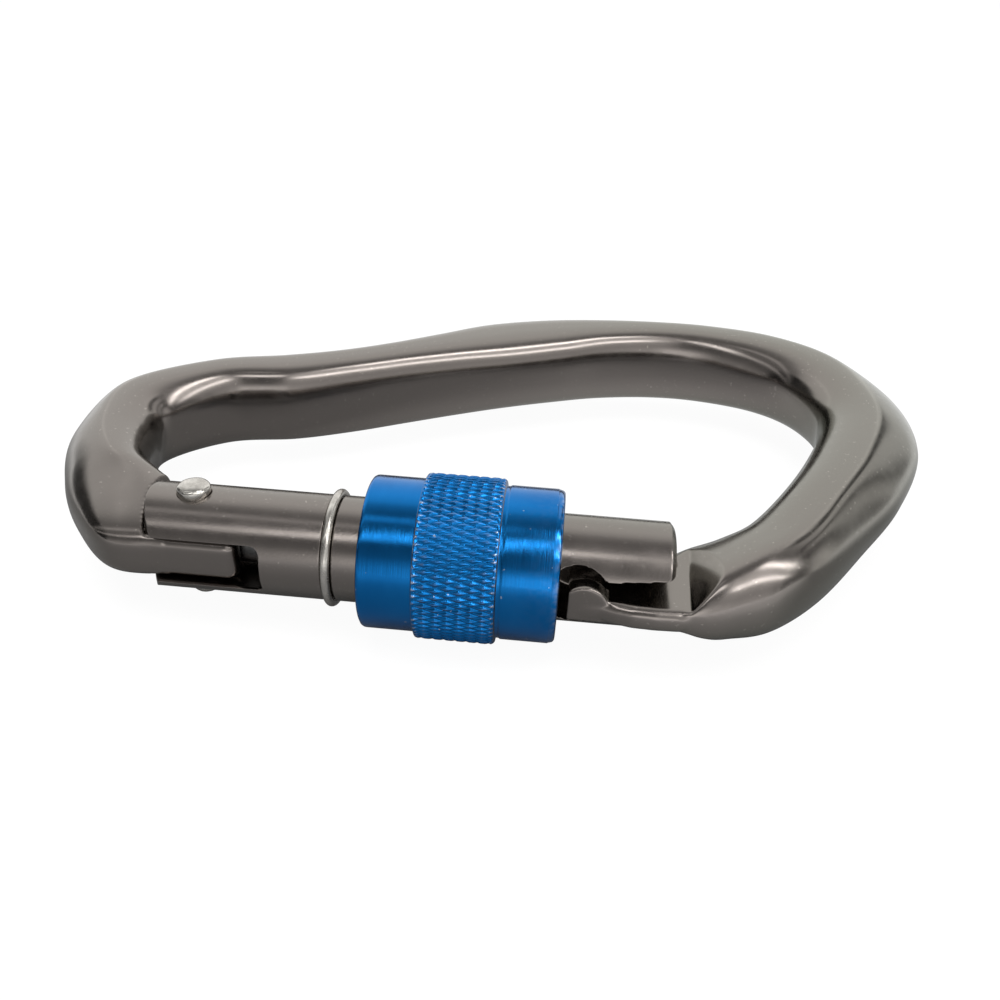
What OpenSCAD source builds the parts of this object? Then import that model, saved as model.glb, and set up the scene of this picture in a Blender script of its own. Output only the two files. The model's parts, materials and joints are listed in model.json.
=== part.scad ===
// Locking carabiner: a forged pear-shaped body, a round sprung gate and a screw sleeve.
// Millimetres. The carabiner lies flat: Z is square to its plane, X runs along the gate
// from the hinge to the wide end, and Y runs from the gate to the spine. Every module
// below is drawn around the hinge pin and then moved, so that the origin is the middle
// of the whole object.

/* [Body] */
// Half thickness of the forged bar, across the plane of the carabiner
bar_half = 6; // [5.5:0.1:6.2]
// Squareness of the bar's section, where 2 is an ellipse
bar_square = 2.4; // [2:0.1:3.5]
// Half thickness of the flat tang that the gate's ears straddle
tang_half = 2.5; // [2:0.05:2.65]
// Distance from the hinge to the end of the tang's outer toe
toe_reach = 5.3; // [5:0.1:6.5]
// Distance from the hinge axis to the tang's outer face
tang_face = 4.9; // [4.5:0.1:5.5]
// Radius of the cam lobe that pushes the plunger
cam_r = 4.4; // [4:0.1:4.4]
// Offset of the cam lobe towards the spine
cam_offset = 1.6; // [1:0.1:1.6]

/* [Nose] */
// Distance from the hinge to the front of the nose's head
nose_start = 42.2; // [42.1:0.1:42.5]
// Half height of the nose's head
head_half = 2.65; // [2:0.05:2.7]
// Half thickness of the web behind the head
web_half = 1; // [0.8:0.05:1]
// How far the nose sits below the gate's middle plane
nose_drop = 0.8; // [0:0.1:0.8]
// Distance from the gate's axis to the nose's inner edge
nose_inner = 1.2; // [0.5:0.1:1.4]

/* [Gate] */
// Radius of the gate's barrel
gate_r = 6; // [5.5:0.1:6]
// Length of the gate from the hinge axis to its free end
gate_len = 53.4; // [53:0.1:53.5]
// Rounding of the free end's rim
gate_round = 1; // [0.4:0.1:1.5]
// Largest angle that the gate opens to
gate_open = 26; // [15:1:28]
// Half height of the slot between the ears
slot_half = 2.8; // [2.7:0.05:3]
// Distance from the hinge to the end of the slot between the ears
slot_end = 8.5; // [8:0.1:9.5]
// Radius of the keyhole for the nose's head
keyhole_r = 3.7; // [3.6:0.05:3.8]
// Half height of the keyhole's narrow part
throat_half = 1.9; // [1.9:0.05:2.2]

/* [Rivet] */
// Radius of the rivet's shaft
rivet_r = 1.5; // [1.2:0.1:1.6]
// Radius of the rivet's heads
rivet_head_r = 1.85; // [1.8:0.05:2.2]
// Height of a head's rim above the middle plane
rivet_rim = 6.6; // [6.2:0.05:6.7]
// Height of the dome on the rim
rivet_dome = 0.85; // [0.3:0.05:1]

/* [Plunger and spring] */
// Radius of the plunger's head
plunger_r = 2.5; // [2.2:0.1:2.5]
// Length of the plunger's head
plunger_len = 5.5; // [4.5:0.5:6]
// Radius of the spring's wire
wire_r = 0.3; // [0.2:0.05:0.35]
// Outer radius of the spring's coil
coil_r = 2.3; // [2:0.1:2.4]
// Number of turns of the spring
coil_turns = 9; // [6:1:12]

/* [Sleeve] */
// Outer radius of the sleeve's plain bands
sleeve_r = 8.65; // [8.2:0.05:8.8]
// Outer radius of the knurled band
knurl_r = 9.35; // [9.1:0.05:9.6]
// Distance from the hinge to the sleeve's near end, with the sleeve unscrewed
sleeve_start = 19.6; // [19:0.1:20]
// Length of the sleeve
sleeve_len = 21.5; // [20:0.1:21.5]
// Distance from the sleeve's near end to the knurled band
knurl_start = 6.1; // [5:0.1:7]
// Length of the knurled band
knurl_len = 8.8; // [7:0.1:10]
// Radius of the wide bore that passes over the nose
skirt_bore = 7.2; // [7.1:0.05:7.4]
// Length of the wide bore
skirt_len = 12.7; // [8:0.1:13]
// Pitch of the screw thread
thread_pitch = 2; // [1:0.25:2]

/* [Stop ring] */
// Distance from the hinge to the stop ring
ring_at = 15.85; // [15:0.05:16.5]
// Radius of the ring's wire
ring_wire = 0.5; // [0.4:0.05:0.6]

/* [Hidden] */
$fn = 64;

// Clearances: running fits, the shoulder round the ears, and what a cutter overshoots by
run_gap = 0.05;
ear_gap = 0.4;
over = 1;

// Stations along the bar from the tang round to the nose: [x, y, half width]
STATIONS = [
    [-2, -0.3, 5], [-6.5, 0.6, 5.2], [-10.5, 3.8, 5.1], [-14.8, 9, 4.9], [-17.9, 17, 5],
    [-17.6, 26.2, 4.5], [-8.8, 33, 4.5], [0.5, 36, 4.9], [8, 39.3, 4.6], [15, 43.2, 4.7],
    [22, 47.6, 5.5], [29, 51.9, 6.5], [37, 55.2, 6.3], [45, 57.4, 5.3], [54, 58.6, 4.7],
    [62.3, 58.4, 4.9], [71.3, 56.1, 5.7], [78.4, 50.9, 6.3], [82.6, 42.2, 6.6], [82.4, 33, 6.5],
    [77.6, 22, 6], [72.2, 12.2, 5.8], [66.7, 4.5, 5.5], [61, -0.8, 5.1], [55.5, -2.4, 5.1]];
STEPS = 3;
SIDES = 20;

// Catmull-Rom curve through the stations, with straight run-outs at both ends
function station(i) =
    i < 0 ? 2 * STATIONS[0] - STATIONS[1] :
    i >= len(STATIONS) ? 2 * STATIONS[len(STATIONS) - 1] - STATIONS[len(STATIONS) - 2] :
    STATIONS[i];
function blend(a, b, c, d, t) =
    b + t * (c - a) / 2 + t * t * (2 * a - 5 * b + 4 * c - d) / 2
    + t * t * t * (3 * b - a - 3 * c + d) / 2;
curve = [for (i = [0 : len(STATIONS) - 2], k = [0 : STEPS - 1])
    blend(station(i - 1), station(i), station(i + 1), station(i + 2), k / STEPS),
    STATIONS[len(STATIONS) - 1]];
last = len(curve) - 1;

// Unit direction of the curve at point i, and the direction to its right
function heading(i) =
    let (d = curve[min(i + 1, last)] - curve[max(i - 1, 0)])
    [d[0], d[1]] / norm([d[0], d[1]]);
function side(i) = [heading(i)[1], -heading(i)[0]];

// Point on the rounded-square section at angle t
function squircle(t, p) =
    [sign(cos(t)) * pow(abs(cos(t)), 2 / p), sign(sin(t)) * pow(abs(sin(t)), 2 / p)];

// Both ends of the bar are flattened: the hinge end on its outer side, the nose on its inner
hinge_taper = 4 * STEPS;
nose_taper = 3 * STEPS;
function thick(i, u) =
    let (a = max(0, 1 - i / hinge_taper), b = max(0, 1 - (last - i) / nose_taper))
    bar_half - 1.5 * a * (1 - u) - 1.5 * b * (1 + u);
function section(i) = [for (k = [0 : SIDES - 1])
    let (q = squircle(360 * k / SIDES, bar_square), e = side(i) * curve[i][2] * q[0])
    [curve[i][0] + e[0], curve[i][1] + e[1], thick(i, q[0]) * q[1]]];

// The object's own box in plan, whose middle becomes the origin
edges = [for (i = [0 : last], s = [-1, 1])
    [curve[i][0] + s * side(i)[0] * curve[i][2], curve[i][1] + s * side(i)[1] * curve[i][2]]];
box_x = [min([for (e = edges) e[0]]), max([for (e = edges) e[0]])];
box_y = [-knurl_r, max([for (e = edges) e[1]])];
middle = [(box_x[0] + box_x[1]) / 2, (box_y[0] + box_y[1]) / 2, 0];

// The ears end in a shallow arc, and the body's shoulder follows the space it sweeps
ear_arc = 9;
ear_reach = 4.7;
function ear_edge(t) =
    let (c = ear_arc - ear_reach)
    c * cos(t) + sqrt(ear_arc * ear_arc - pow(c * sin(t), 2));
function ear_sweep(t) = max([for (a = [0 : 2 : gate_open]) ear_edge(t - a)]) + ear_gap;

// The nose's web in plan: [x, y] down its outer edge
WEB_EDGE = [[43.5, -6], [45, -6.5], [47, -7.2], [49, -7.7], [52, -7.9], [54.5, -7.7],
    [57.5, -6.4]];
palm_end = 57.5;
palm_inner = 3.4;

// Where the bar ends above and below the web, and how far its end walls lean
bar_end = 55.8;
bar_lean = 2;

keyhole_at = 43;
throat_flare = 0.6;
groove_r = gate_r - 0.35;
groove_half = 0.6;
ring_r = groove_r + run_gap + ring_wire;
ring_split = 16;
thread_depth = 0.45;
thread_start = 20.5;
thread_turns = 8;
bore_end = 24;
bore_r = plunger_r + run_gap;
plunger_face = cam_r + run_gap;
plunger_back = plunger_face + plunger_len;
stem_r = coil_r - 2 * wire_r - 0.2;
stem_len = 4;
spot_depth = 5.68;
edge_break = 0.4;

// Turns a shape drawn along Z so that it lies along the gate
module along_gate() {
    rotate([0, 90, 0]) children();
}

// Turns an outline drawn in X and Z so that it is cut through along Y
module across(y0, y1) {
    translate([0, y1, 0]) rotate([90, 0, 0]) linear_extrude(y1 - y0) children();
}

// Closed skin over rings of points, all with the same number of points
module skin(rings) {
    n = len(rings[0]);
    top = len(rings) - 1;
    faces = concat(
        [[for (k = [n - 1 : -1 : 0]) k]],
        [for (i = [0 : top - 1], k = [0 : n - 1])
            let (a = i * n + k, b = i * n + (k + 1) % n)
            each [[a, b, a + n], [b, b + n, a + n]]],
        [[for (k = [0 : n - 1]) top * n + k]]);
    polyhedron([for (r = rings) each r], faces, convexity = 10);
}

// What the bar loses at the hinge: the room that the ears sweep, and all beyond it
module shoulder_cut() {
    translate([0, 0, -bar_half - over]) linear_extrude(2 * (bar_half + over)) {
        polygon([for (t = [100 : 4 : 260]) ear_sweep(t) * [cos(t), sin(t)]]);
        translate([-2, -8]) square([4, 16]);
    }
}

// Tang between the ears: cam lobe, outer toe, and a root that runs back into the bar
module tang_outline() {
    toe_round = 0.8;
    toe_back = -3.8;
    toe_depth = 2;
    toe_len = toe_reach - toe_back;
    translate([0, cam_offset]) circle(cam_r);
    translate([toe_back, -tang_face]) square([toe_len - toe_round, toe_depth]);
    translate([toe_back, toe_round - tang_face]) square([toe_len, toe_depth - 2 * toe_round]);
    for (y = [toe_round, toe_depth - toe_round])
        translate([toe_reach - toe_round, y - tang_face]) circle(toe_round);
    polygon([[toe_back, -tang_face + 0.5], [1, -tang_face + 0.5], [0, 5], [-8.5, 5.5], [-8.5, 0]]);
}

// Head and web of the nose. The head is a disc cut flat at its front, and both are trimmed so
// that the sleeve passes over them
module nose() {
    head_front = 1.3;
    head_at = nose_start + head_front;
    intersection() {
        across(-gate_r - 1, nose_inner) translate([head_at, -nose_drop]) intersection() {
            circle(head_half);
            translate([-head_front, -head_half]) square(2 * head_half);
        }
        along_gate() cylinder(h = gate_len, r = gate_r + 0.3);
    }
    translate([0, 0, -nose_drop - web_half]) linear_extrude(2 * web_half)
        polygon(concat(WEB_EDGE, [[palm_end, palm_inner], [gate_len + 0.6, palm_inner],
            [gate_len + 0.6, nose_inner], [head_at, nose_inner]]));
}

// What the bar loses at the nose: everything short of two leaning end walls
module nose_cut() {
    across(-12, 9) translate([0, -nose_drop]) polygon([
        [50, -bar_half - 2], [bar_end + bar_lean, -bar_half - 2], [bar_end, -web_half],
        [bar_end, web_half], [bar_end + bar_lean, bar_half + 2], [50, bar_half + 2]]);
}

module body() {
    color("dimgray") difference() {
        union() {
            difference() {
                skin([for (i = [0 : last]) section(i)]);
                shoulder_cut();
                nose_cut();
            }
            translate([0, 0, -tang_half]) linear_extrude(2 * tang_half) tang_outline();
            nose();
        }
        cylinder(h = 20, r = rivet_r + run_gap, center = true);
    }
}

// Half section of the gate's barrel, with the ring's groove and the thread
module gate_profile() {
    left = ear_reach + over;
    difference() {
        union() {
            translate([0, -left]) square([gate_r, left + gate_len - gate_round]);
            square([gate_r - gate_round, gate_len]);
            translate([gate_r - gate_round, gate_len - gate_round]) circle(gate_round);
        }
        translate([groove_r, ring_at - groove_half]) square([2, 2 * groove_half]);
        for (i = [0 : thread_turns - 1])
            translate([gate_r, thread_start + i * thread_pitch])
                polygon([[over, -0.9], [0, -0.6], [-thread_depth, 0], [0, 0.6], [over, 0.9]]);
    }
}

// Keyhole that takes the nose, seen from outside the carabiner
module keyhole_outline() {
    tip = gate_len + over;
    translate([keyhole_at, 0]) circle(keyhole_r);
    polygon([[keyhole_at, -throat_half], [tip, -throat_half - throat_flare],
        [tip, throat_half + throat_flare], [keyhole_at, throat_half]]);
}

module gate() {
    color("gray") difference() {
        intersection() {
            along_gate() rotate_extrude() gate_profile();
            translate([ear_arc - ear_reach, 0, 0]) union() {
                cylinder(h = 20, r = ear_arc, center = true);
                translate([0, -10, -10]) cube([60, 20, 20]);
            }
        }
        across(-8, 8) {
            translate([-8, -slot_half]) square([slot_end + 8 - 1, 2 * slot_half]);
            translate([-8, -slot_half + 1]) square([slot_end + 8, 2 * slot_half - 2]);
            for (z = [1 - slot_half, slot_half - 1]) translate([slot_end - 1, z]) circle(1);
        }
        across(-8, nose_inner + run_gap) keyhole_outline();
        along_gate() cylinder(h = bore_end, r = bore_r);
        cylinder(h = 20, r = rivet_r, center = true);
        for (s = [0, 1]) mirror([0, 0, s]) translate([0, 0, spot_depth])
            cylinder(h = 2, r = rivet_head_r + 0.1);
    }
}

module rivet() {
    dome_r = (pow(rivet_head_r, 2) + pow(rivet_dome, 2)) / (2 * rivet_dome);
    color("silver") {
        cylinder(h = 2 * spot_depth, r = rivet_r, center = true);
        for (s = [0, 1]) mirror([0, 0, s]) {
            translate([0, 0, spot_depth]) cylinder(h = rivet_rim - spot_depth, r = rivet_head_r);
            intersection() {
                translate([0, 0, rivet_rim - over]) cylinder(h = 3, r = rivet_head_r);
                translate([0, 0, rivet_rim + rivet_dome - dome_r]) sphere(dome_r);
            }
        }
    }
}

module plunger() {
    color("dimgray") along_gate() {
        translate([0, 0, plunger_face]) cylinder(h = plunger_len, r = plunger_r);
        translate([0, 0, plunger_back]) cylinder(h = stem_len, r = stem_r);
    }
}

module spring() {
    turn_steps = 14;
    wire_sides = 7;
    mean_r = coil_r - wire_r;
    start = plunger_back + wire_r;
    travel = bore_end - plunger_back - 2 * wire_r;
    count = coil_turns * turn_steps;
    color("silver") skin([for (i = [0 : count]) [for (k = [0 : wire_sides - 1])
        let (a = 360 * i / turn_steps, b = 360 * k / wire_sides, r = mean_r + wire_r * cos(b))
        [start + travel * i / count + wire_r * sin(b), r * cos(a), r * sin(a)]]]);
}

module sleeve() {
    thread_bore = gate_r + run_gap;
    knurl_end = knurl_start + knurl_len;
    skirt = sleeve_len - skirt_len;
    color("royalblue") translate([sleeve_start, 0, 0]) along_gate() rotate_extrude() polygon([
        [thread_bore + edge_break, 0], [sleeve_r - edge_break, 0], [sleeve_r, edge_break],
        [sleeve_r, knurl_start], [knurl_r - edge_break, knurl_start],
        [knurl_r, knurl_start + edge_break], [knurl_r, knurl_end - edge_break],
        [knurl_r - edge_break, knurl_end], [sleeve_r, knurl_end],
        [sleeve_r, sleeve_len - edge_break], [sleeve_r - edge_break, sleeve_len],
        [skirt_bore + edge_break, sleeve_len], [skirt_bore, sleeve_len - edge_break],
        [skirt_bore, skirt], [thread_bore, skirt - 1], [thread_bore, edge_break]]);
}

module stop_ring() {
    color("gainsboro") translate([ring_at, 0, 0]) along_gate() rotate([0, 0, ring_split / 2])
        rotate_extrude(angle = 360 - ring_split) translate([ring_r, 0]) circle(ring_wire);
}

translate(-middle) body();
translate(-middle) gate();
translate(-middle) rivet();
translate(-middle) plunger();
translate(-middle) spring();
translate(-middle) sleeve();
translate(-middle) stop_ring();
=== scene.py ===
"""Looks of a locking carabiner. Everything is modelled in millimetres from the hinge pin,
with X along the gate and Y towards the spine, and then placed in the frame."""

import json
import math

import bmesh
import bpy
import numpy as np
from mathutils import Matrix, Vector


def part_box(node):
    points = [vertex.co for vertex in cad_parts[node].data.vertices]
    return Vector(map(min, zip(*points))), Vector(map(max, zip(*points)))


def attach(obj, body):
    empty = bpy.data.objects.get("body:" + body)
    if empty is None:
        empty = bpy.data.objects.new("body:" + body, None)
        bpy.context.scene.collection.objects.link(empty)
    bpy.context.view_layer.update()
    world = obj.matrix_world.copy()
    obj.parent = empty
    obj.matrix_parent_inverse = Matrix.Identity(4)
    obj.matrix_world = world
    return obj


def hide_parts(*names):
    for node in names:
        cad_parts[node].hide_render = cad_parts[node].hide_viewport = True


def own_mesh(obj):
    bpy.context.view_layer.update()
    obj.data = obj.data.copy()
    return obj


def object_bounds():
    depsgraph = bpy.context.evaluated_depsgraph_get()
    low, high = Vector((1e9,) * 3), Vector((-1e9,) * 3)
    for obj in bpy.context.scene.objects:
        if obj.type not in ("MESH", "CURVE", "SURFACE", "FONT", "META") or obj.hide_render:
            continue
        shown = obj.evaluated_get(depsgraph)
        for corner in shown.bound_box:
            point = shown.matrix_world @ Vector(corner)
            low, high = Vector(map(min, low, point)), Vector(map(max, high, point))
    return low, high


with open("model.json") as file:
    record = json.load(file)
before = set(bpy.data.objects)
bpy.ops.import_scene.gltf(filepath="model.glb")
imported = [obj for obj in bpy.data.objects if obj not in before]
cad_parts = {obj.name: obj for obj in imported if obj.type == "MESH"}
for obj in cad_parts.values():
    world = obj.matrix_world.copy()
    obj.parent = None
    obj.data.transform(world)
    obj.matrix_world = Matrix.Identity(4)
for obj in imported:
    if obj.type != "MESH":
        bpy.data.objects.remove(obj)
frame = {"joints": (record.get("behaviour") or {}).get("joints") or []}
cad_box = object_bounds()

MM = 0.001
TAU = 2 * math.pi
OVER = 1.0  # what a cutter overshoots by

rivet_low, rivet_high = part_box("rivet")
HINGE = (rivet_low + rivet_high) / 2


def from_hinge(node):
    """Lowest and highest corner of a CAD node, in millimetres from the hinge."""
    return [(corner - HINGE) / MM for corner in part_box(node)]


def joint(name):
    return next(j for j in frame["joints"] if j["name"] == name)


# ---------------------------------------------------------------- mesh tools


def new_object(name, points, faces):
    mesh = bpy.data.meshes.new(name)
    mesh.from_pydata([tuple(p) for p in np.asarray(points, float)], [], faces)
    mesh.update()
    thing = bpy.data.objects.new(name, mesh)
    bpy.context.scene.collection.objects.link(thing)
    return thing


def skin(name, rings, closed=False):
    """Surface over rings of points. Its ends are capped, or closed joins the last ring to the first."""
    rings = np.asarray(rings, float)
    count, sides = rings.shape[:2]
    loops = count if closed else count - 1
    faces = []
    for i in range(loops):
        a = i * sides
        b = (i + 1) % count * sides
        for k in range(sides):
            n = (k + 1) % sides
            faces.append((a + k, a + n, b + n, b + k))
    if not closed:
        faces.append(tuple(reversed(range(sides))))
        faces.append(tuple(range((count - 1) * sides, count * sides)))
    return outward(new_object(name, rings.reshape(-1, 3), faces))


def outward(thing):
    """Turns every face outward."""
    work = bmesh.new()
    work.from_mesh(thing.data)
    bmesh.ops.recalc_face_normals(work, faces=work.faces)
    work.to_mesh(thing.data)
    work.free()
    return thing


def lathe(name, profile, steps=128, closed=True):
    """Turns a profile of (x, radius) points about the gate's axis."""
    angles = np.arange(steps) * TAU / steps
    rings = [
        [(x, -r * math.cos(a), r * math.sin(a)) for a in angles] for x, r in profile
    ]
    return skin(name, rings, closed)


def prism(name, outline, low, high, axis="z"):
    """Outline pushed from low to high along z, or for axis y an outline in x and z."""
    if axis == "z":
        rings = [[(x, y, level) for x, y in outline] for level in (low, high)]
    else:
        rings = [[(x, level, z) for x, z in outline] for level in (low, high)]
    return skin(name, rings)


def pin(name, radius, half):
    """Plain pin along Z, used as a cutter."""
    return prism(name, arc((0, 0), radius, 0, 355, 71), -half, half)


def arc(centre, radius, start, stop, steps=24):
    """Points of an arc, with its angles in degrees."""
    turns = np.radians(np.linspace(start, stop, steps + 1))
    return [
        (centre[0] + radius * math.cos(a), centre[1] + radius * math.sin(a))
        for a in turns
    ]


def rounded(corners, steps=6):
    """Closed outline whose corners, given as (x, y, radius), are rounded."""
    outline = []
    for i, (x, y, radius) in enumerate(corners):
        here = np.array([x, y])
        back = np.array(corners[i - 1][:2]) - here
        ahead = np.array(corners[(i + 1) % len(corners)][:2]) - here
        back /= np.linalg.norm(back)
        ahead /= np.linalg.norm(ahead)
        if radius == 0:
            outline.append((x, y))
            continue
        for t in np.linspace(0, 1, steps + 1):
            outline.append(
                tuple(here + radius * (back * (1 - t) ** 2 + ahead * t**2))
            )
    return outline


def bake(thing):
    """Applies the modifiers."""
    depsgraph = bpy.context.evaluated_depsgraph_get()
    mesh = bpy.data.meshes.new_from_object(thing.evaluated_get(depsgraph))
    thing.modifiers.clear()
    thing.data = mesh
    return thing


def cut(thing, cutter, operation="DIFFERENCE"):
    step = thing.modifiers.new("cut", "BOOLEAN")
    step.operation = operation
    step.object = cutter
    step.solver = "EXACT"
    bake(thing)
    bpy.data.objects.remove(cutter)
    return thing


def join(name, things):
    """One object that holds the meshes of several."""
    work = bmesh.new()
    for thing in things:
        work.from_mesh(thing.data)
        bpy.data.objects.remove(thing)
    mesh = bpy.data.meshes.new(name)
    work.to_mesh(mesh)
    work.free()
    joined = bpy.data.objects.new(name, mesh)
    bpy.context.scene.collection.objects.link(joined)
    return joined


def forge(thing, voxel, rounds):
    """Fuses overlapping solids into one skin and softens its edges."""
    step = thing.modifiers.new("fuse", "REMESH")
    step.mode = "VOXEL"
    step.voxel_size = voxel
    step.adaptivity = 0
    soften = thing.modifiers.new("soften", "SMOOTH")
    soften.factor = 0.5
    soften.iterations = rounds
    return bake(thing)


def soften(thing, weights, rounds):
    """Softens the edges where the weights are above 0."""
    group = thing.vertex_groups.new(name="soft")
    for i in np.nonzero(weights > 0)[0]:
        group.add([int(i)], float(weights[i]), "REPLACE")
    step = thing.modifiers.new("soften", "SMOOTH")
    step.factor = 0.5
    step.iterations = rounds
    step.vertex_group = "soft"
    bake(thing)
    thing.vertex_groups.clear()


def points_of(thing):
    points = np.zeros(len(thing.data.vertices) * 3)
    thing.data.vertices.foreach_get("co", points)
    return points.reshape(-1, 3)


def set_points(thing, points):
    thing.data.vertices.foreach_set("co", points.astype(np.float32).ravel())
    thing.data.update()


def settle(thing, body, nodes, material):
    """Places a finished piece in the frame, on its body, instead of its CAD nodes."""
    low, high = [(corner - HINGE) / MM for corner in cad_box]
    set_points(thing, np.clip(points_of(thing), low, high))
    thing.data.transform(Matrix.Translation(HINGE) @ Matrix.Scale(MM, 4))
    thing.data.materials.clear()
    thing.data.materials.append(material)
    thing.data.shade_smooth()
    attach(thing, body)
    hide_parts(*nodes)
    return thing


# ---------------------------------------------------------------- body

# Stations along the bar from the tang round to the nose:
# x, y, half width, half thickness, height of the middle,
# outer side: share of the thickness lost, where the bevel starts, and squareness; and the inner side
STATIONS = np.array(
    [
        (-2, 0, 5, 5.6, 0, 0.5, -1, 5, 0, 0.5, 4),
        (-6.9, 0.35, 5.6, 5.8, 0, 0.5, -1, 4.5, 0, 0.5, 4),
        (-11, 3.9, 5.3, 5.9, 0, 0.42, -0.6, 3, 0, 0.5, 3.5),
        (-14.8, 9, 5, 6, 0, 0.4, -0.1, 2.6, 0, 0.5, 3),
        (-17.6, 17, 5.3, 6, 0, 0.34, 0.1, 2.5, 0, 0.5, 2.5),
        (-16.9, 25.6, 5.4, 6, 0, 0.3, 0.35, 2.5, 0, 0.5, 2.5),
        (-8.8, 33, 4.5, 6, 0, 0.2, 0.4, 2.5, 0, 0.5, 2.8),
        (0.5, 36, 4.9, 6, 0, 0.14, 0.4, 2.5, 0, 0.5, 3),
        (8, 39.3, 4.6, 6, 0, 0.12, 0.4, 2.5, 0, 0.5, 3.2),
        (15, 43.2, 4.7, 6, 0, 0.12, 0.5, 2.5, 0, 0.5, 3.2),
        (22, 47.6, 5.5, 6, 0, 0.12, 0.5, 2.5, 0, 0.5, 3.2),
        (29, 51.9, 6.5, 6, 0, 0.12, 0.5, 2.5, 0, 0.5, 3.2),
        (37, 55.2, 6.3, 6, 0, 0.12, 0.5, 2.5, 0, 0.5, 3.2),
        (45, 57.4, 5.3, 6, 0, 0.12, 0.5, 2.5, 0, 0.5, 3.2),
        (54, 58.6, 4.7, 6, 0, 0.14, 0.5, 2.5, 0, 0.5, 3),
        (62.3, 58.4, 4.9, 6, 0, 0.2, 0.5, 2.5, 0, 0.5, 2.8),
        (71.3, 56.1, 5.7, 6, 0, 0.3, 0.4, 2.5, 0, 0.5, 2.5),
        (78.4, 50.9, 6.3, 6, 0, 0.35, 0.25, 2.5, 0, 0.5, 2.5),
        (82.6, 42.2, 6.6, 6, 0, 0.38, 0, 2.5, 0, 0.5, 2.5),
        (82.5, 33, 6.7, 6, 0, 0.4, 0.06, 2.5, 0, 0.5, 2.5),
        (77.9, 21.9, 6.4, 6, 0, 0.42, 0.2, 2.5, 0, 0.5, 2.5),
        (72.2, 12.2, 5.8, 6, 0, 0.38, 0.32, 2.5, 0.05, 0, 2.5),
        (66.7, 4.5, 5.7, 5.9, 0, 0.22, 0.5, 2.5, 0.25, -0.2, 2.5),
        (62.05, 0.95, 6.27, 5.8, -0.1, 0.05, 0.5, 2.5, 0.53, -0.4, 2.5),
        (58, -0.55, 6.43, 5.1, -0.4, 0.05, 0.5, 2.5, 0.7, -0.6, 2.5),
        (55.25, -1.68, 5.98, 4.3, -0.75, 0.05, 0.5, 2.5, 0.72, -0.6, 2.5),
        (53, -2.35, 5.4, 3.2, -0.75, 0.05, 0.5, 2.5, 0.72, -0.6, 2.5),
    ]
)
BAR_ROOM = 9  # cutters this far from the middle pass right through the bar
BODY_VOXEL = 0.17
SHAFT_R = 1.5
TANG_HALF = 2.55
EAR_REACH = 5.2  # from the pin to the round end of the gate's ears
EAR_CURVE = 9.0
EAR_GAP = 0.35
SWEEP = (100, 262)  # directions from the pin, in degrees, that the ears can reach
WEB_HALF = 1.4
NOSE_DROP = 0.75  # how far the web's middle is below the bar's
NOSE_END = 54
HEAD_X = 43.4
HEAD_R = 2.65
HEAD_FOOT = 1.25
WALL_SLANT = 0.036


def bar_line(steps):
    """Catmull-Rom curves through the bar's outer and inner edges and through its section."""
    centre = STATIONS[:, :2]
    heading = np.gradient(centre, axis=0)
    heading /= np.linalg.norm(heading, axis=1)[:, None]
    inward = np.stack([heading[:, 1], -heading[:, 0]], axis=1) * STATIONS[:, 2:3]
    s = np.hstack([centre - inward, centre + inward, STATIONS[:, 3:]])
    s = np.vstack([2 * s[0] - s[1], s, 2 * s[-1] - s[-2]])
    line = []
    for i in range(1, len(s) - 2):
        a, b, c, d = s[i - 1 : i + 3]
        for t in np.arange(steps) / steps:
            line.append(
                b
                + t * (c - a) / 2
                + t * t * (2 * a - 5 * b + 4 * c - d) / 2
                + t**3 * (3 * b - a - 3 * c + d) / 2
            )
    return np.array(line + [s[-2]])


def ramp(u, start, softness=0.05):
    """0 before start and then rising to 1 at 1, with a soft knee."""
    return softness * np.logaddexp(0, (u - start) / softness) / (1 - start)


def bar_rings(steps=14, sides=112):
    angle = np.arange(sides) * TAU / sides
    rings = []
    for station in bar_line(steps):
        x, y = (station[:2] + station[2:4]) / 2
        side = (station[2:4] - station[:2]) / 2
        thick, middle = station[4:6]
        outer, outer_start, outer_square, inner, inner_start, inner_square = station[6:]
        square = np.where(np.cos(angle) < 0, outer_square, inner_square)
        u = np.sign(np.cos(angle)) * np.abs(np.cos(angle)) ** (2 / square)
        v = np.sign(np.sin(angle)) * np.abs(np.sin(angle)) ** (2 / square)
        taper = 1 - outer * ramp(-u, outer_start) - inner * ramp(u, inner_start)
        rings.append(
            np.stack(
                [x + side[0] * u, y + side[1] * u, middle + thick * taper * v],
                axis=1,
            )
        )
    return np.array(rings)


def ear_sweep(gap):
    """Outline of the room that the gate's ears sweep, as a radius for each direction."""
    opening = joint("gate_hinge")["range_deg"][1]
    offset = EAR_CURVE - EAR_REACH
    outline = []
    for direction in range(*SWEEP):
        widest = 0
        for turned in range(int(opening) + 1):
            t = math.radians(direction - turned)
            edge = offset * math.cos(t) + math.sqrt(EAR_CURVE**2 - (offset * math.sin(t)) ** 2)
            widest = max(widest, edge)
        t = math.radians(direction)
        outline.append(((widest + gap) * math.cos(t), (widest + gap) * math.sin(t)))
    return outline


def tang():
    """Flat tang between the gate's ears: a cam lobe with a rounded toe outside it."""
    lobe_r = 4.35
    lobe_y = 1.6
    toe = 5.6
    toe_r = 1.3
    face = -4.9
    root = (-6.4, -3)
    top = 5.6
    outline = (
        [(x, face) for x in root]
        + arc((toe - toe_r, face + toe_r), toe_r, -90, 0, 10)
        + arc((toe - toe_r, face + toe_r + 0.3), toe_r, 0, 60, 6)
        + arc((0, lobe_y), lobe_r, -52, 118, 40)
        + [(x, top) for x in reversed(root)]
    )
    return pillow("tang", outline, 0, TANG_HALF, 1.2)


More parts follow.
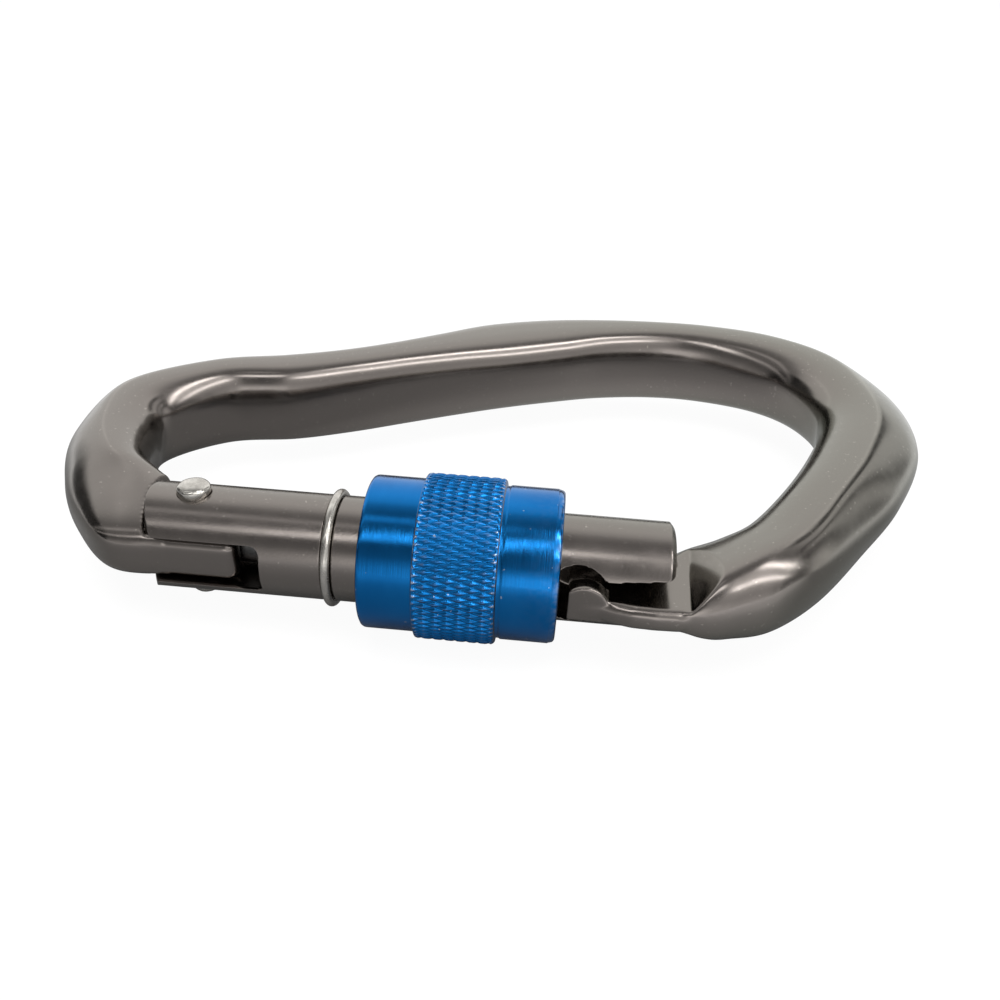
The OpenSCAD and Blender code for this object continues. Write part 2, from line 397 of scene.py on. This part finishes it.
def nose_parts():
    """Head on its post, and the web that carries them."""
    level = -NOSE_DROP
    low = level - WEB_HALF
    high = level + WEB_HALF
    tip = HEAD_X - HEAD_FOOT
    crown = arc((HEAD_X + 0.5, -0.35), HEAD_R, 22, 128, 30)
    head_outline = [(tip, low), (47, low), (47.2, high)] + crown + [(tip, 1.6)]
    head = prism("head", head_outline, -6.72, -4.6, "y")
    post = prism("post", arc((HEAD_X + 0.3, level), 1.5, 0, 352, 44), -5, 1.1, "y")
    edge = [
        (HEAD_X, -6.75),
        (45.6, -6.85),
        (47.2, -7.35),
        (49, -7.75),
        (51.5, -7.85),
        (54, -7.75),
        (57, -7.1),
        (60, -5.5),
    ]
    inner = [(60, 5.6), (57.2, 5), (55.4, 3.9), (54.3, 2.8), (54, 1.1), (HEAD_X, 1.1)]
    web = pillow("web", edge + inner, level, WEB_HALF, 1.1)
    return [head, post, web]


def pillow(name, outline, middle, half, edge, steps=8):
    """Plate whose rim is rounded by edge."""
    flat = np.array(outline)
    along = np.roll(flat, -1, axis=0) - np.roll(flat, 1, axis=0)
    along /= np.linalg.norm(along, axis=1)[:, None]
    inside = np.stack([-along[:, 1], along[:, 0]], axis=1)
    rings = []
    for side in (-1, 1):
        for a in np.linspace(0, TAU / 4, steps)[::side]:
            level = middle + side * (half - edge + edge * math.sin(a))
            shrunk = flat + inside * edge * (1 - math.cos(a))
            rings.append([(x, y, level) for x, y in shrunk])
    return skin(name, rings)


def pocket(side, foot, lean):
    """What the bar loses over or under the web: all short of a wall that leans back."""
    near = -NOSE_DROP + side * WEB_HALF
    far = near + side * BAR_ROOM
    rings = []
    for y in (-14, 14):
        x = foot + WALL_SLANT * y
        rings.append([(40, y, near), (x, y, near), (x + lean * BAR_ROOM, y, far), (40, y, far)])
    return skin("pocket", rings)


def make_body(material):
    bar = skin("bar", bar_rings())
    room = ear_sweep(EAR_GAP) + [(4, -9), (4, 9)]
    for low, high in ((-BAR_ROOM, -TANG_HALF), (TANG_HALF, BAR_ROOM)):
        cut(bar, prism("shoulder", room, low, high))
    cut(bar, pocket(1, 55.4, 0.98))
    cut(bar, pocket(-1, 54.9, 2.3))
    end = [(40, -9), (NOSE_END, -9), (NOSE_END, 5), (40, 5)]
    cut(bar, prism("end", end, -BAR_ROOM, BAR_ROOM))
    thing = join("carabiner_body", [bar, tang(), *nose_parts()])
    forge(thing, BODY_VOXEL, 10)
    cut(thing, pin("hole", SHAFT_R + 0.05, 4))
    return settle(thing, "frame", ["body"], material)


# ---------------------------------------------------------------- gate


GATE_VOXEL = 0.14
SLOT_HALF = 2.9
BORE_R = 2.55
SPOT_R = 1.95
SPOT_FLOOR = 5.68
THREAD = (19.5, 36.5)
THREAD_PITCH = 2
THREAD_DEPTH = 0.42
THREAD_RUN_OUT = 1.5


def gate_profile():
    """Half section of the barrel: (x, radius) from the hinge end to the free end."""
    high = from_hinge("gate")[1]
    radius = high.z
    ring_low, ring_high = from_hinge("stop_ring")
    ring_x = (ring_low.x + ring_high.x) / 2
    groove = 0.35
    half = 0.6
    edge = 1.0
    profile = [
        (-EAR_REACH - OVER, radius),
        (ring_x - half - 0.02, radius),
        (ring_x - half, radius - groove),
        (ring_x + half, radius - groove),
        (ring_x + half + 0.02, radius),
    ]
    profile += [(x, radius) for x in np.arange(18, 50, 0.25)]
    profile += [
        (high.x - edge + edge * math.sin(a), radius - edge + edge * math.cos(a))
        for a in np.linspace(0, TAU / 4, 12)
    ]
    return profile


def scale_radius(points, factor):
    """Moves points towards or away from the gate's axis."""
    points[:, 1] *= factor
    points[:, 2] *= factor


def true_up(thing, radius, band=0.22):
    """Pushes the skin that softening drew in back to the barrel's radius."""
    points = points_of(thing)
    found = np.hypot(points[:, 1], points[:, 2])
    near = np.clip((found - (radius - band)) / 0.1, 0, 1)
    scale_radius(points, 1 + near * (radius / np.maximum(found, 1) - 1))
    set_points(thing, points)


def cut_thread(thing):
    """Presses a helical groove into the barrel's skin."""
    points = points_of(thing)
    start, stop = THREAD
    x = points[:, 0]
    radius = np.hypot(points[:, 1], points[:, 2])
    turn = np.arctan2(points[:, 2], -points[:, 1]) / TAU
    phase = (x / THREAD_PITCH + turn) % 1
    groove = np.clip(1.6 - np.abs(phase - 0.5) * 4.6, 0, 1)
    groove *= np.clip((x - start) / THREAD_RUN_OUT, 0, 1)
    groove *= np.clip((stop - x) / THREAD_RUN_OUT, 0, 1)
    groove *= radius > 5.9
    scale_radius(points, 1 - THREAD_DEPTH * groove / np.maximum(radius, 1))
    set_points(thing, points)


def keyhole():
    """Keyhole outline in x and z: a round seat and a throat that widens to the free end."""
    seat_x = 43.15
    seat_r = 3.72
    end = from_hinge("gate")[1].x + OVER
    throat = [(46.9, 2.3), (51.8, 2.75), (end, 2.95)]
    seat = arc((seat_x, 0), seat_r, 40, 320, 56)
    return seat + [(x, -half) for x, half in throat] + throat[::-1]


def make_gate(material):
    barrel = lathe("carabiner_gate", gate_profile(), 160, closed=False)
    ends = arc((EAR_CURVE - EAR_REACH, 0), EAR_CURVE, 90, 270, 60)
    ends += [(60, -EAR_CURVE), (60, EAR_CURVE)]
    cut(barrel, prism("ends", ends, -10, 10), "INTERSECT")
    slot = rounded(
        [(-9, -SLOT_HALF, 0), (8.5, -SLOT_HALF, 0.7), (8.5, SLOT_HALF, 1.3), (-9, SLOT_HALF, 0)]
    )
    cut(barrel, prism("slot", slot, -9, 9, "y"))
    cut(barrel, prism("keyhole", keyhole(), -9, 1.3, "y"))
    cut(barrel, lathe("bore", [(-8, BORE_R), (23.9, BORE_R)], 48, closed=False))
    cut(barrel, pin("hole", SHAFT_R, 10))
    for low, high in ((-9, -SPOT_FLOOR), (SPOT_FLOOR, 9)):
        cut(barrel, prism("spot", arc((0, 0), SPOT_R, 0, 350, 35), low, high))
    forge(barrel, GATE_VOXEL, 11)
    x = points_of(barrel)[:, 0]
    ear_tips = np.clip((-2.4 - x) / 1.2, 0, 1)
    free_end = np.clip(x - 46, 0, 1)
    soften(barrel, ear_tips + free_end, 14)
    true_up(barrel, from_hinge("gate")[1].z)
    cut_thread(barrel)
    return settle(barrel, "gate", ["gate"], material)


# ---------------------------------------------------------------- small steel parts

COLLAR = 5.5  # from the plunger's rear end to the shoulder that the spring pushes


def make_rivet(material):
    """Shaft with two hammered domes."""
    high = from_hinge("rivet")[1]
    head_r = high.x
    crown = high.z - 0.25
    rim = crown - 0.65
    seat = 5.66
    half = [
        (SHAFT_R - 0.01, seat),
        (head_r - 0.12, seat),
        (head_r, seat + 0.15),
        (head_r, rim - 0.2),
    ]
    half += [
        (head_r * math.cos(a) ** 0.8, rim - 0.1 + (crown - rim + 0.1) * math.sin(a))
        for a in np.linspace(0.12, TAU / 4 - 0.02, 14)
    ]
    profile = [(r, -z) for r, z in reversed(half)] + half
    steps = 72
    rings = []
    rng = np.random.default_rng(4)
    dents = rng.uniform(0, TAU, 5)
    for r, z in profile:
        ring = []
        for a in np.arange(steps) * TAU / steps:
            worn = sum(math.cos((i + 2) * a + d) for i, d in enumerate(dents))
            push = 1 + (0.006 * worn if abs(z) > seat else 0)
            reach = min(r * push, head_r)
            ring.append((reach * math.cos(a), reach * math.sin(a), z))
        rings.append(ring)
    thing = skin("hinge_rivet", rings)
    return settle(thing, "gate", ["rivet"], material)


def make_ring(material):
    """Split ring of round wire with rounded ends."""
    low, high = from_hinge("stop_ring")
    wire = (high.x - low.x) / 2
    mean = high.z - wire
    middle = (low.x + high.x) / 2
    gap = math.radians(16)
    steps = 168
    rings = []
    for i in range(steps + 1):
        share = i / steps
        a = gap / 2 + (TAU - gap) * share
        end = min(share, 1 - share) * steps
        scale = math.sin(min(end + 0.4, 2.5) / 2.5 * TAU / 4)
        centre = np.array([0, math.sin(a), -math.cos(a)])
        ring = []
        for b in np.arange(20) * TAU / 20:
            out = mean + wire * scale * math.cos(b)
            ring.append(np.array([middle + wire * scale * math.sin(b), 0, 0]) + centre * out)
        rings.append(ring)
    thing = skin("stop_ring_wire", rings)
    return settle(thing, "ring", ["stop_ring"], material)


def make_plunger(material):
    """Follower with a rounded face and a thin stem that the spring sits on."""
    low, high = from_hinge("plunger")
    head_r = high.z
    shoulder = low.x + COLLAR
    stem = 1.5
    edge = 0.6
    profile = [(low.x, 0.05), (low.x, head_r - edge - 0.1)]
    profile += [
        (low.x + edge - edge * math.cos(a), head_r - edge + edge * math.sin(a))
        for a in np.linspace(0, TAU / 4, 8)
    ]
    profile += [
        (shoulder - 0.2, head_r),
        (shoulder, head_r - 0.2),
        (shoulder, stem + 0.1),
        (shoulder + 0.1, stem),
        (high.x - 0.5, stem),
        (high.x, stem - 0.5),
        (high.x, 0.05),
    ]
    thing = lathe("plunger_follower", profile, 72, closed=False)
    return settle(thing, "plunger", ["plunger"], material)


def make_spring(material):
    """Coil with closed ends."""
    low, high = from_hinge("spring")
    wire = 0.3
    mean = high.z - wire
    turns = 9
    per_turn = 48
    count = turns * per_turn
    start = low.x + wire
    length = high.x - wire - start
    rings = []
    for i in range(count + 1):
        share = i / count
        eased = share + 0.035 * math.sin(TAU * share)
        a = TAU * i / per_turn
        spoke = np.array([0, math.cos(a), math.sin(a)])
        middle = np.array([start + length * min(max(share * 2 - eased, 0), 1), 0, 0])
        ring = []
        for b in np.arange(12) * TAU / 12:
            side = np.array([wire * math.sin(b), 0, 0])
            ring.append(middle + spoke * (mean + wire * math.cos(b)) + side)
        rings.append(ring)
    thing = skin("gate_spring", rings)
    settle(thing, "gate", ["spring"], material)
    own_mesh(thing)
    return thing


# ---------------------------------------------------------------- sleeve

PLAIN_R = 8.65
SLEEVE_BORE = 6.05
SKIRT_R = 7.2
KNURL_START = 6.1
KNURL_END = 14.9
KNURL_TEETH = 72
KNURL_SLOPE = 0.324
KNURL_DEPTH = 0.27


def sleeve_profile(length, knurled):
    """Closed half section, with plain bands, the knurled band's rims, and the wide skirt."""
    plain = PLAIN_R
    bore = SLEEVE_BORE
    corners = [
        (0, bore + 0.5, 0.15),
        (0, plain, 0.55),
        (KNURL_START - 0.12, plain, 0.1),
        (KNURL_START, knurled - 0.08, 0.1),
        (KNURL_START + 0.35, knurled, 0.1),
    ]
    corners += [
        (x, knurled, 0)
        for x in np.arange(KNURL_START + 0.6, KNURL_END - 0.55, 0.1)
    ]
    corners += [
        (KNURL_END - 0.35, knurled, 0.1),
        (KNURL_END, knurled - 0.25, 0.1),
        (KNURL_END + 0.05, plain - 0.12, 0.1),
        (KNURL_END + 0.45, plain - 0.12, 0.1),
        (KNURL_END + 0.55, plain, 0.1),
        (length - 0.75, plain, 0.08),
        (length - 0.7, plain - 0.06, 0.08),
        (length, plain - 0.2, 0.45),
        (length, SKIRT_R, 0.3),
        (length - 12.7, SKIRT_R, 0.2),
        (length - 13.7, bore, 0.2),
        (0.5, bore, 0.1),
    ]
    return rounded(corners, 4)


def make_sleeve(material):
    """Turned sleeve, with the knurls pressed in and a measure of how worn each point is."""
    low, high = from_hinge("sleeve")
    length = high.x - low.x
    knurled = high.z
    thing = lathe("locking_sleeve", sleeve_profile(length, knurled), KNURL_TEETH * 10)
    points = points_of(thing)
    x = points[:, 0]
    radius = np.hypot(points[:, 1], points[:, 2])
    around = np.arctan2(points[:, 2], -points[:, 1]) * knurled
    tooth = TAU * knurled / KNURL_TEETH
    cells = []
    for slope in (-KNURL_SLOPE, KNURL_SLOPE):
        phase = ((around + slope * (x - KNURL_START)) / tooth) % 1
        cells.append(1 - np.abs(phase * 2 - 1))
    height = np.clip(np.minimum(*cells) * 1.3, 0, 1)
    band = np.clip((x - KNURL_START - 0.1) / 0.25, 0, 1)
    band *= np.clip((KNURL_END - 0.1 - x) / 0.25, 0, 1)
    outer = radius > knurled - 0.3
    lowered = np.where(outer, band * KNURL_DEPTH * (1 - height), 0)
    near_rim = np.exp(-np.abs(x - KNURL_START - 0.3) / 0.35)
    near_rim += np.exp(-np.abs(x - KNURL_END + 0.3) / 0.35)
    wear = np.where(outer, np.clip(height - 0.55, 0, 1) * (0.15 + 2 * near_rim), 0)
    end_rim = np.exp(-np.abs(x - length) / 0.25) * (radius > 8.3)
    wear = np.clip(wear + 0.5 * end_rim, 0, 1)
    scale_radius(points, 1 - lowered / np.maximum(radius, 1))
    points[:, 0] += low.x
    set_points(thing, points)
    for name, values in (("wear", wear), ("knurled", outer * band)):
        layer = thing.data.attributes.new(name, "FLOAT", "POINT")
        layer.data.foreach_set("value", values.astype(np.float32))
    thing.visible_glossy = False  # keeps its blue off the bar's inner side
    return settle(thing, "sleeve", ["sleeve"], material)


# ---------------------------------------------------------------- materials


class Shader:
    """Small helper for a node material."""

    def __init__(self, name):
        self.material = bpy.data.materials.new(name)
        self.material.use_nodes = True
        self.tree = self.material.node_tree
        self.surface = self.tree.nodes["Principled BSDF"]

    def node(self, kind, **settings):
        made = self.tree.nodes.new(kind)
        for key, value in settings.items():
            if hasattr(made, key):
                setattr(made, key, value)
            else:
                made.inputs[key.replace("_", " ")].default_value = value
        return made

    def link(self, source, target):
        self.tree.links.new(source, target)

    def place(self, scale):
        """Object coordinates in metres, stretched by scale."""
        coordinates = self.node("ShaderNodeTexCoord")
        mapping = self.node("ShaderNodeMapping")
        mapping.inputs["Scale"].default_value = scale
        self.link(coordinates.outputs["Object"], mapping.inputs["Vector"])
        return mapping.outputs["Vector"]

    def noise(self, scale, detail=2.0, roughness=0.5):
        """Noise from 0 to 1. scale is in features a metre, on each axis."""
        texture = self.node("ShaderNodeTexNoise", Scale=1.0, Detail=detail, Roughness=roughness)
        self.link(self.place(scale), texture.inputs["Vector"])
        return texture.outputs["Fac"]

    def band(self, value, low, high, to_low=0.0, to_high=1.0):
        """Maps low..high to to_low..to_high, clamped."""
        mapped = self.node("ShaderNodeMapRange", clamp=True)
        for key, number in zip(
            ("From Min", "From Max", "To Min", "To Max"), (low, high, to_low, to_high)
        ):
            mapped.inputs[key].default_value = number
        self.link(value, mapped.inputs["Value"])
        return mapped.outputs["Result"]

    def mix(self, factor, first, second):
        """Mixes two colours, each a tuple or a socket."""
        mixer = self.node("ShaderNodeMix", data_type="RGBA")
        if isinstance(factor, float):
            mixer.inputs["Factor"].default_value = factor
        else:
            self.link(factor, mixer.inputs["Factor"])
        for socket, value in ((mixer.inputs["A"], first), (mixer.inputs["B"], second)):
            for target in [i for i in mixer.inputs if i.name == socket.name and i.type == "RGBA"]:
                if isinstance(value, tuple):
                    target.default_value = (*value, 1)
                else:
                    self.link(value, target)
        return next(o for o in mixer.outputs if o.type == "RGBA")

    def math(self, operation, first, second=0.0):
        worker = self.node("ShaderNodeMath", operation=operation)
        for target, value in zip(worker.inputs, (first, second)):
            if isinstance(value, (int, float)):
                target.default_value = value
            else:
                self.link(value, target)
        return worker.outputs["Value"]

    def attribute(self, name):
        reader = self.node("ShaderNodeAttribute", attribute_name=name)
        return reader.outputs["Fac"]

    def edges(self, low, high):
        """1 on sharp outer edges, 0 on flat ground."""
        geometry = self.node("ShaderNodeNewGeometry")
        return self.band(geometry.outputs["Pointiness"], low, high)

    def bump(self, height, distance, strength=1.0, below=None):
        step = self.node("ShaderNodeBump", Distance=distance, Strength=strength)
        self.link(height, step.inputs["Height"])
        if below is not None:
            self.link(below, step.inputs["Normal"])
        return step.outputs["Normal"]

    def set(self, **inputs):
        for key, value in inputs.items():
            socket = self.surface.inputs[key.replace("_", " ")]
            if isinstance(value, (int, float)):
                socket.default_value = value
            elif isinstance(value, tuple):
                socket.default_value = (*value, 1)
            else:
                self.link(value, socket)


def anodised_grey(name, smooth, grainy):
    """Tumbled aluminium under a gunmetal film: fine grain, faint mottling, paler worn edges."""
    s = Shader(name)
    mottle = s.noise((70, 70, 70), 3)
    place = s.node("ShaderNodeSeparateXYZ")
    s.link(s.place((1, 1, 1)), place.inputs["Vector"])
    olive = s.band(s.math("ADD", place.outputs["X"], s.math("MULTIPLY", mottle, 0.03)), -0.01, 0.05)
    film = s.mix(olive, (0.266, 0.252, 0.232), (0.238, 0.242, 0.207))
    facing = s.node("ShaderNodeLayerWeight", Blend=0.35)
    tint = s.mix(s.band(facing.outputs["Facing"], 0.1, 0.75), (0.276, 0.25, 0.236), film)
    specks = s.band(s.noise((2600, 2600, 2600), 1), 0.7, 0.78)
    worn = s.math("MULTIPLY", s.edges(0.56, 0.66), s.band(s.noise((900, 900, 900), 3), 0.4, 0.7))
    paler = s.math("MAXIMUM", s.math("MULTIPLY", specks, 0.35), s.math("MULTIPLY", worn, 0.5))
    colour = s.mix(paler, tint, (0.62, 0.58, 0.54))
    grain = s.bump(s.noise((3800, 3800, 3800), 2, 0.7), 0.000004, grainy)
    dents = s.bump(s.noise((260, 260, 260), 2), 0.00002, 0.12, grain)
    rough = s.band(s.noise((500, 500, 500), 4), 0.3, 0.7, smooth, smooth + 0.07)
    s.set(Base_Color=colour, Metallic=1.0, Roughness=rough, Normal=dents)
    return s.material


def anodised_blue():
    """Turned blue aluminium: fine rings round the plain bands, bare metal on worn knurls."""
    s = Shader("anodised_blue")
    rings = s.noise((9000, 8, 8), 3, 0.7)
    around = s.noise((260, 120, 120), 3)
    blue = s.mix(s.band(around, 0.3, 0.7), (0.008, 0.17, 0.52), (0.012, 0.205, 0.6))
    worn = s.math("MULTIPLY", s.attribute("wear"), s.band(s.noise((1700, 1700, 1700), 3), 0.42, 0.6))
    nicks = s.band(s.noise((1500, 1500, 1500), 2), 0.735, 0.76)
    bare = s.math("MAXIMUM", worn, s.math("MULTIPLY", nicks, 0.5))
    colour = s.mix(bare, blue, (0.72, 0.74, 0.78))
    smooth_band = s.math("SUBTRACT", 1.0, s.attribute("knurled"))
    depth = s.math("MULTIPLY", smooth_band, rings)
    turned = s.bump(depth, 0.000016, 1.0)
    grain = s.bump(s.noise((4200, 4200, 4200), 2, 0.7), 0.000005, 0.5, turned)
    rough = s.band(s.noise((600, 600, 600), 3), 0.3, 0.7, 0.12, 0.18)
    s.set(Base_Color=colour, Metallic=1.0, Roughness=rough, Normal=grain)
    return s.material


def steel(name, colour, dull, rough_low, rough_high):
    """Bare wire and rivet steel with fine drawn scratches."""
    s = Shader(name)
    patches = s.noise((900, 900, 900), 4, 0.7)
    scratches = s.noise((400, 5200, 5200), 2, 0.6)
    mixed = s.mix(s.band(patches, 0.35, 0.65), colour, dull)
    shape = s.bump(s.noise((1500, 1500, 1500), 3), 0.00002, 0.45)
    fine = s.bump(scratches, 0.000006, 0.5, shape)
    rough = s.band(patches, 0.3, 0.7, rough_low, rough_high)
    s.set(Base_Color=mixed, Metallic=1.0, Roughness=rough, Normal=fine)
    return s.material


def pale_floor():
    """White sheet for the viewer, and in reflections a dimmer one, as under a shaded table top, that
    glows with painted light: brighter towards the viewer, beyond the part and to its right, and low
    close to the part as painted shade.
    """
    s = Shader("pale_floor")
    grain = s.band(s.noise((9, 9, 9), 3), 0.3, 0.7)
    place = s.node("ShaderNodeSeparateXYZ")
    s.link(s.place((1, 1, 1)), place.inputs["Vector"])
    # Painted light and shade, seen only in reflections: the sheet's glow rises towards the viewer,
    # beyond the part and to its right, and stays low close to the part.
    toward = s.band(place.outputs["Y"], -0.14, -0.04, 0.42, 0.05)
    away = s.band(place.outputs["Y"], 0.0, 0.05, 0.0, 0.7)
    right = s.math(
        "MULTIPLY",
        s.band(place.outputs["X"], 0.01, 0.05, 0.0, 0.42),
        s.band(place.outputs["Y"], -0.05, -0.03, 1.0, 0.0),
    )
    near = s.math("ADD", s.math("ADD", toward, away), right)
    sheets = []
    for shade, glow in (((0.05, 0.05, 0.05), 0.95), ((0.11, 0.11, 0.11), near)):
        soft = s.node("ShaderNodeBsdfDiffuse")
        s.link(s.mix(grain, shade, tuple(c * 1.04 for c in shade)), soft.inputs["Color"])
        light = s.node("ShaderNodeEmission")
        if isinstance(glow, float):
            light.inputs["Strength"].default_value = glow
        else:
            s.link(glow, light.inputs["Strength"])
        both = s.node("ShaderNodeAddShader")
        s.link(soft.outputs["BSDF"], both.inputs[0])
        s.link(light.outputs["Emission"], both.inputs[1])
        sheets.append(both.outputs["Shader"])
    ray = s.node("ShaderNodeLightPath")
    chosen = s.node("ShaderNodeMixShader")
    s.link(ray.outputs["Is Camera Ray"], chosen.inputs["Fac"])
    s.link(sheets[1], chosen.inputs[1])
    s.link(sheets[0], chosen.inputs[2])
    output = s.tree.nodes["Material Output"]
    s.link(chosen.outputs["Shader"], output.inputs["Surface"])
    return s.material


# ---------------------------------------------------------------- studio


def make_floor():
    half = 2.5
    level = cad_box[0].z - 0.00002
    corners = [(-half, -half, level), (half, -half, level), (half, half, level), (-half, half, level)]
    floor = new_object("floor", corners, [(0, 1, 2, 3)])
    floor.data.materials.append(pale_floor())


# The studio is made of panels. Each has its level by the angle over the X axis, in degrees from
# the far horizon over the top to the horizon behind the viewer, times a share by the angle
# towards X, from -90 at the left to 90 at the right.
LEVEL_TOP = 4  # brightest level that a panel's colour ramp holds
TENT = [
    (0, 1.0),
    (50, 1.0),
    (65, 0.76),
    (71, 0.46),
    (78, 0.34),
    (84, 0.26),
    (104, 0.26),
    (116, 0.24),
    (136, 0.17),
    (154, 0.24),
    (162, 0.35),
    (180, 0.55),
]
TENT_SIDES = [
    (-90, 0.9),
    (-87, 0.8),
    (-84, 0.06),
    (-60, 0.06),
    (-54, 0.9),
    (-34, 1),
    (-31, 1.25),
    (-28, 1),
    (22, 1),
    (25, 1.25),
    (28, 0.95),
    (50, 0.75),
    (53, 0.2),
    (55, 0.2),
    (58, 0.7),
    (61, 0.7),
    (64, 0.2),
    (67, 0.25),
    (75, 0.9),
]
GAP = [(12, 0), (20, 0.85), (60, 0.85), (70, 0)]
GAP_SIDES = [(29, 0), (32, 1), (38, 1), (42, 0)]
LAMP_1 = [(89.5, 0), (92, 3.9), (98, 3.9), (100.5, 0)]
LAMP_1_SIDES = [(-60, 0.15), (-8, 0.12), (-3, 0), (12, 0), (20, 1.5), (60, 1.5), (75, 0)]
LAMP_2 = [(118, 0), (121.5, 3.2), (128.5, 3.2), (132, 0)]
LAMP_2_SIDES = [
    (-40, 0.2),
    (-19, 0.25),
    (-13, 0.9),
    (1, 0.9),
    (5, 0),
    (12, 0),
    (20, 1),
    (60, 1),
    (75, 0),
]
LAMP_2_SHIFT = [(-16, 0), (-1, 1), (8, 1), (16, 0)]
LAMP_2_LEAN = 11.0  # degrees
FRONT = [(152, 0), (162, 0.4), (168, 0.9), (180, 0.8)]
FRONT_SIDES = [(-17, 0), (-6, 1), (8, 1), (18, 0)]
FRONT_RIGHT = [(97, 0), (101, 0.85), (120, 0.95), (136, 0.6), (156, 0.35), (180, 0.3)]
FRONT_RIGHT_SIDES = [(4, 0), (12, 1), (60, 1), (75, 0)]


def make_world():
    """Soft tent with two strip lamps overhead and bright panels behind the viewer, who sees white."""
    world = bpy.data.worlds.new("studio")
    bpy.context.scene.world = world
    world.use_nodes = True
    tree = world.node_tree

    def math_node(operation, first, second=None):
        worker = tree.nodes.new("ShaderNodeMath")
        worker.operation = operation
        for target, value in zip(worker.inputs, (first, second)):
            if isinstance(value, (int, float)):
                target.default_value = value
            elif value is not None:
                tree.links.new(value, target)
        return worker.outputs["Value"]

    def curve(angle, stops, low, high):
        """Piecewise linear level for an angle in degrees."""
        share = math_node("DIVIDE", math_node("SUBTRACT", angle, float(low)), float(high - low))
        ramp_node = tree.nodes.new("ShaderNodeValToRGB")
        elements = ramp_node.color_ramp.elements
        while len(elements) > 1:
            elements.remove(elements[-1])
        for i, (degrees, level) in enumerate(stops):
            position = (degrees - low) / (high - low)
            if i == 0:
                element = elements[0]
                element.position = position
            else:
                element = elements.new(position)
            element.color = (*[level / LEVEL_TOP] * 3, 1)
        tree.links.new(share, ramp_node.inputs["Fac"])
        return math_node("MULTIPLY", ramp_node.outputs["Color"], LEVEL_TOP)

    def panel(over, over_stops, side_stops):
        return math_node("MULTIPLY", curve(over, over_stops, 0, 180), curve(aside, side_stops, -90, 90))

    coordinates = tree.nodes.new("ShaderNodeTexCoord")
    split = tree.nodes.new("ShaderNodeSeparateXYZ")
    tree.links.new(coordinates.outputs["Generated"], split.inputs["Vector"])
    over = math_node("ARCTAN2", split.outputs["Z"], split.outputs["Y"])
    over = math_node("MULTIPLY", over, 360 / TAU)
    aside = math_node("MULTIPLY", math_node("ARCSINE", split.outputs["X"]), 360 / TAU)
    gap = math_node("SUBTRACT", 1.0, panel(over, GAP, GAP_SIDES))
    tent = math_node("MULTIPLY", panel(over, TENT, TENT_SIDES), gap)
    shift = math_node("MULTIPLY", curve(aside, LAMP_2_SHIFT, -90, 90), LAMP_2_LEAN)
    leaning = math_node("ADD", over, shift)
    lamps = math_node(
        "ADD", panel(over, LAMP_1, LAMP_1_SIDES), panel(leaning, LAMP_2, LAMP_2_SIDES)
    )
    fronts = math_node(
        "ADD", panel(over, FRONT, FRONT_SIDES), panel(over, FRONT_RIGHT, FRONT_RIGHT_SIDES)
    )
    level = math_node("ADD", math_node("ADD", tent, lamps), fronts)
    seen = tree.nodes.new("ShaderNodeLightPath").outputs["Is Camera Ray"]
    level = math_node("MULTIPLY", level, math_node("SUBTRACT", 1.0, seen))
    background = tree.nodes["Background"]
    background.inputs["Color"].default_value = (1, 0.99, 0.97, 1)
    tree.links.new(math_node("ADD", level, seen), background.inputs["Strength"])


def make_lights():
    """Wide overhead softbox that lights the floor."""
    light = bpy.data.lights.new("softbox", "AREA")
    light.shape = "DISK"
    light.size = 1.2
    light.energy = 26
    lamp = bpy.data.objects.new("softbox", light)
    lamp.location = (0, -0.1, 1.3)
    lamp.visible_glossy = False
    bpy.context.scene.collection.objects.link(lamp)


CAMERA_PLACE = (0.00631, -0.11307, 0.06363)
CAMERA_TURN = (57.21, -2.26, 5.11)


def make_camera():
    data = bpy.data.cameras.new("camera")
    data.sensor_width = 36
    data.lens = 34.2
    camera = bpy.data.objects.new("camera", data)
    camera.location = CAMERA_PLACE
    camera.rotation_euler = [math.radians(a) for a in CAMERA_TURN]
    data.clip_start = 0.005
    bpy.context.scene.collection.objects.link(camera)
    bpy.context.scene.camera = camera


# ---------------------------------------------------------------- build

grey = anodised_grey("anodised_grey", 0.15, 0.5)
satin_grey = anodised_grey("satin_grey", 0.17, 1.6)
blue = anodised_blue()
bright_steel = steel("bright_steel", (0.74, 0.72, 0.68), (0.52, 0.5, 0.47), 0.16, 0.3)
# The plunger's near black colour is painted shade, so that it reads black deep in the gate's slot.
dark_steel = steel("dark_steel", (0.12, 0.12, 0.12), (0.06, 0.06, 0.06), 0.3, 0.5)

make_body(grey)
make_gate(satin_grey)
make_rivet(bright_steel)
make_ring(bright_steel)
make_plunger(dark_steel)
make_spring(bright_steel)
make_sleeve(blue)

make_floor()
make_world()
make_lights()
make_camera()
bpy.context.scene.view_settings.view_transform = "Standard"
